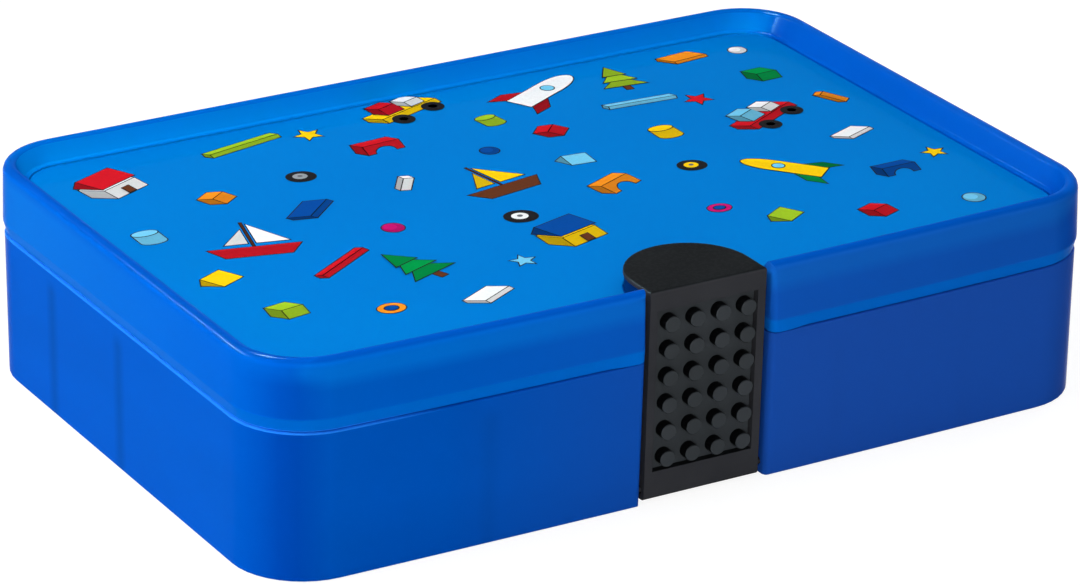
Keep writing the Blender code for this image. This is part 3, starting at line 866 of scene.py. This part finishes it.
def house(motif, wall, top):
    """A cottage: a block, a roof and a door."""
    block(motif, wall, 1.3, 1.0, 0.8)
    motif.raise_layer()
    roof(motif, top, 1.4, 1.1, 0.75, 0, 0.72)
    motif.raise_layer()
    c = slanted(0.3, 0, 0.5, 0.45, 0.14)
    motif.face([c[0, 0, 0], c[1, 0, 0], c[1, 0, 1], c[0, 0, 1]], "brown", "mid")


def wagon(motif, body, load):
    """A flat wagon with two wheels and a load of blocks."""
    block(motif, body, 2.0, 0.7, 0.35)
    motif.raise_layer()
    block(motif, load, 0.6, 0.5, 0.55, 0.25, 0.42)
    block(motif, "white", 0.5, 0.5, 0.4, 1.0, 0.62)
    motif.raise_layer()
    for x, y in ((0.42, 0.04), (1.42, 0.36)):
        motif.face(ellipse(x, y, 0.26, 0.26), "black", "light")
        motif.face(ellipse(x, y, 0.11, 0.11), "grey", "light", outlined=False)


def boat(motif, hull, sail):
    """A sailing boat."""
    motif.face([(-1.0, 0), (-0.7, -0.5), (0.7, -0.5), (1.0, 0)], hull, "mid")
    motif.face([(-0.03, 0.02), (0.03, 0.02), (0.03, 1.3), (-0.03, 1.3)], "brown", "dark")
    motif.face([(0.08, 0.16), (0.8, 0.16), (0.08, 1.2)], sail, "light")
    motif.face([(-0.08, 0.16), (-0.08, 0.95), (-0.6, 0.16)], sail, "mid")


def fir(motif, leaves):
    """A fir tree in three tiers."""
    motif.face([(-0.12, -0.8), (0.12, -0.8), (0.12, -0.5), (-0.12, -0.5)], "brown", "mid")
    for tier in range(3):
        half = 0.72 - 0.17 * tier
        foot = -0.5 + 0.42 * tier
        motif.raise_layer()
        tone = "light" if tier % 2 else "mid"
        motif.face([(-half, foot), (half, foot), (0, foot + 0.75)], leaves, tone)


def rocket(motif, body, fins):
    """A toy rocket."""
    motif.face([(-0.25, -0.6), (-0.6, -0.95), (-0.6, -0.45), (-0.25, 0.0)], fins, "mid")
    motif.face([(0.25, -0.6), (0.6, -0.95), (0.6, -0.45), (0.25, 0.0)], fins, "dark")
    motif.raise_layer()
    angles = [math.radians(angle) for angle in range(0, 181, 15)]
    nose = [(0.3 * math.cos(a), 0.55 + 0.75 * math.sin(a)) for a in angles]
    motif.face([(-0.3, -0.7), (0.3, -0.7), *nose], body, "light")
    motif.raise_layer()
    motif.face(ellipse(0, 0.4, 0.15, 0.15), "sky", "light")


DRAWINGS = {
    "block": block, "roof": roof, "arch": arch, "drum": drum, "wheel": wheel, "ball": ball,
    "star": star, "ring": ring, "house": house, "wagon": wagon, "boat": boat, "tree": fir,
    "rocket": rocket,
    "plank": lambda motif, colour: block(motif, colour, 3.6, 0.5, 0.45),
    "slab": lambda motif, colour: block(motif, colour, 1.7, 1.2, 0.35),
    "pillar": lambda motif, colour: block(motif, colour, 0.5, 0.5, 1.7),
}

# The size in metres of a motif's unit. Then each motif's drawing, its place in shares of the
# sheet's half sizes, its turn in degrees, its share of that size and its inks.
motif_size = 0.0085
MOTIF_PLACE_SHARES = (
    ("house", -0.86, 0.62, 8, 1.3, ("white", "red")),
    ("plank", -0.56, 0.80, -4, 0.9, ("lime",)),
    ("star", -0.30, 0.84, 12, 0.8, ("yellow",)),
    ("block", -0.66, 0.40, 20, 0.8, ("orange",)),
    ("wheel", -0.44, 0.50, 0, 0.8, ("grey",)),
    ("arch", -0.24, 0.56, -12, 1.0, ("red",)),
    ("drum", -0.90, 0.22, 0, 0.8, ("sky",)),
    ("slab", -0.52, 0.14, 26, 1.0, ("navy",)),
    ("boat", -0.72, 0.02, -14, 1.6, ("red", "white")),
    ("pillar", -0.28, 0.22, -34, 0.8, ("white",)),
    ("ball", -0.40, -0.06, 0, 0.8, ("magenta",)),
    ("roof", -0.88, -0.24, 10, 1.1, ("yellow",)),
    ("plank", -0.66, -0.34, 16, 0.8, ("red",)),
    ("tree", -0.46, -0.40, 22, 1.4, ("green",)),
    ("block", -0.84, -0.58, -8, 0.9, ("lime",)),
    ("ring", -0.62, -0.66, 0, 0.9, ("orange",)),
    ("slab", -0.42, -0.78, 12, 0.9, ("white",)),
    ("star", -0.24, -0.52, -8, 0.7, ("sky",)),
    ("wagon", -0.10, 0.80, 4, 1.5, ("yellow", "red")),
    ("drum", 0.12, 0.62, 8, 0.7, ("lime",)),
    ("rocket", 0.30, 0.80, -62, 1.7, ("white", "red")),
    ("ball", 0.02, 0.40, 0, 0.7, ("navy",)),
    ("block", 0.22, 0.40, 30, 0.8, ("red",)),
    ("boat", -0.06, 0.10, 10, 1.5, ("brown", "yellow")),
    ("roof", 0.14, 0.14, -22, 1.0, ("sky",)),
    ("wheel", -0.12, -0.18, 0, 0.9, ("white",)),
    ("arch", 0.14, -0.16, 8, 1.0, ("orange",)),
    ("house", -0.10, -0.50, 0, 1.3, ("yellow", "navy")),
    ("ring", 0.30, -0.44, 0, 0.8, ("magenta",)),
    ("tree", 0.52, 0.78, -6, 1.2, ("lime",)),
    ("slab", 0.70, 0.82, -10, 0.9, ("orange",)),
    ("ball", 0.88, 0.84, 0, 0.7, ("white",)),
    ("plank", 0.40, 0.54, -20, 0.8, ("sky",)),
    ("star", 0.62, 0.48, 20, 0.8, ("red",)),
    ("block", 0.82, 0.52, -14, 0.9, ("green",)),
    ("drum", 0.44, 0.22, 0, 0.8, ("yellow",)),
    ("wagon", 0.64, 0.12, 12, 1.5, ("red", "sky")),
    ("pillar", 0.92, 0.20, 24, 0.8, ("orange",)),
    ("wheel", 0.38, -0.06, 0, 0.8, ("yellow",)),
    ("rocket", 0.58, -0.26, 40, 1.5, ("yellow", "green")),
    ("slab", 0.80, -0.12, 6, 0.8, ("white",)),
    ("roof", 0.40, -0.66, 14, 1.0, ("lime",)),
    ("arch", 0.74, -0.48, -16, 0.9, ("navy",)),
    ("star", 0.92, -0.36, 0, 0.7, ("yellow",)),
    ("block", 0.60, -0.78, 4, 0.8, ("red",)),
    ("ball", 0.84, -0.78, 0, 0.8, ("sky",)),
)


def print_motifs():
    sheet_print = Print()
    for drawing, x_share, y_share, turn, size_share, colours in MOTIF_PLACE_SHARES:
        x = sheet_middle.x + sheet_half.x * x_share
        y = sheet_middle.y + sheet_half.y * y_share
        motif = Motif(sheet_print, x, y, turn, motif_size * size_share)
        DRAWINGS[drawing](motif, *colours)
    sheet_print.finish("lid_print_motifs")


def add_camera():
    data = bpy.data.cameras.new("photo_camera")
    data.sensor_width = sensor_width
    data.lens = focal_pixels / image_width * sensor_width
    data.shift_x = (image_width / 2 - axis_u) / image_width
    data.shift_y = (axis_v - image_height / 2) / image_width
    data.clip_start = nearest_seen
    data.clip_end = farthest_seen
    camera = bpy.data.objects.new("photo_camera", data)
    flat = math.cos(camera_elevation)
    away = Vector((
        math.sin(camera_azimuth) * flat,
        -math.cos(camera_azimuth) * flat,
        math.sin(camera_elevation),
    ))
    facing = away.to_track_quat("Z", "Y").to_matrix().to_4x4()
    place = Matrix.Translation(camera_target + away * camera_distance)
    camera.matrix_world = place @ facing @ Matrix.Rotation(camera_roll, 4, "Z")
    bpy.context.scene.collection.objects.link(camera)
    bpy.context.scene.camera = camera


def add_area_light(name, place, target, size, watts, use):
    data = bpy.data.lights.new(name, "AREA")
    data.shape = "RECTANGLE"
    data.size, data.size_y = size
    data.energy = watts
    data.color = LAMP_TINTS[use]
    light = bpy.data.objects.new(name, data)
    light.visible_glossy = use == "gloss"
    light.visible_diffuse = use == "matte"
    facing = (Vector(place) - Vector(target)).to_track_quat("Z", "Y").to_matrix().to_4x4()
    light.matrix_world = Matrix.Translation(place) @ facing
    bpy.context.scene.collection.objects.link(light)


def seen_directly(tree):
    """1 where the camera sees a surface directly, mirrored or through glass, and 0 where it
    lights others."""
    path = tree.nodes.new("ShaderNodeLightPath")
    rays = ("Is Camera Ray", "Is Glossy Ray", "Is Transmission Ray")
    return largest(tree, *(path.outputs[ray] for ray in rays))


def add_world():
    """A studio whose light comes from overhead and fades towards the horizon. It looks white."""
    world = bpy.data.worlds.new("studio")
    world.use_nodes = True
    tree = world.node_tree
    light = tree.nodes["Background"]
    height = coordinates(tree, "Generated")["Z"]
    strength = remap(tree, height, horizon_light, overhead_light, *dome_span)
    tree.links.new(strength, light.inputs["Strength"])
    light.inputs["Color"].default_value = grey(1)
    white = tree.nodes.new("ShaderNodeBackground")
    white.inputs["Color"].default_value = grey(1)
    output = tree.nodes["World Output"].inputs["Surface"]
    mixed_shader(tree, seen_directly(tree), light.outputs[0], white.outputs[0], output)
    bpy.context.scene.world = world


def floor_material():
    """White to the camera except for a soft shadow, and a plain pale surface to everything else."""
    material, tree, shader = new_material("floor_white")
    shader.inputs["Base Color"].default_value = grey(floor_grey)
    shader.inputs["Roughness"].default_value = floor_roughness
    shader.inputs["Specular IOR Level"].default_value = 0
    shadow = tree.nodes.new("ShaderNodeBsdfDiffuse")
    shadow.inputs["Color"].default_value = grey(shadow_grey)
    glow = tree.nodes.new("ShaderNodeEmission")
    glow.inputs["Strength"].default_value = floor_glow
    total = tree.nodes.new("ShaderNodeAddShader")
    tree.links.new(shadow.outputs[0], total.inputs[0])
    tree.links.new(glow.outputs[0], total.inputs[1])
    output = tree.nodes["Material Output"].inputs["Surface"]
    mixed_shader(tree, seen_directly(tree), shader.outputs[0], total.outputs[0], output)
    return material


def add_floor():
    """A pale floor just under the box."""
    bm = bmesh.new()
    bmesh.ops.create_grid(bm, x_segments=1, y_segments=1, size=floor_reach)
    mesh = bpy.data.meshes.new("floor")
    bm.to_mesh(mesh)
    bm.free()
    mesh.materials.append(floor_material())
    floor = bpy.data.objects.new("floor", mesh)
    floor.location.z = cad_low[2] - floor_gap
    bpy.context.scene.collection.objects.link(floor)


def main():
    paint_nodes()
    print_motifs()
    add_camera()
    add_world()
    add_floor()
    for name, place, size, watts, use in LAMPS:
        add_area_light(name, place, (0, 0, cad_high[2] / 2), size, watts, use)
    bpy.context.scene.view_settings.view_transform = "Standard"


main()
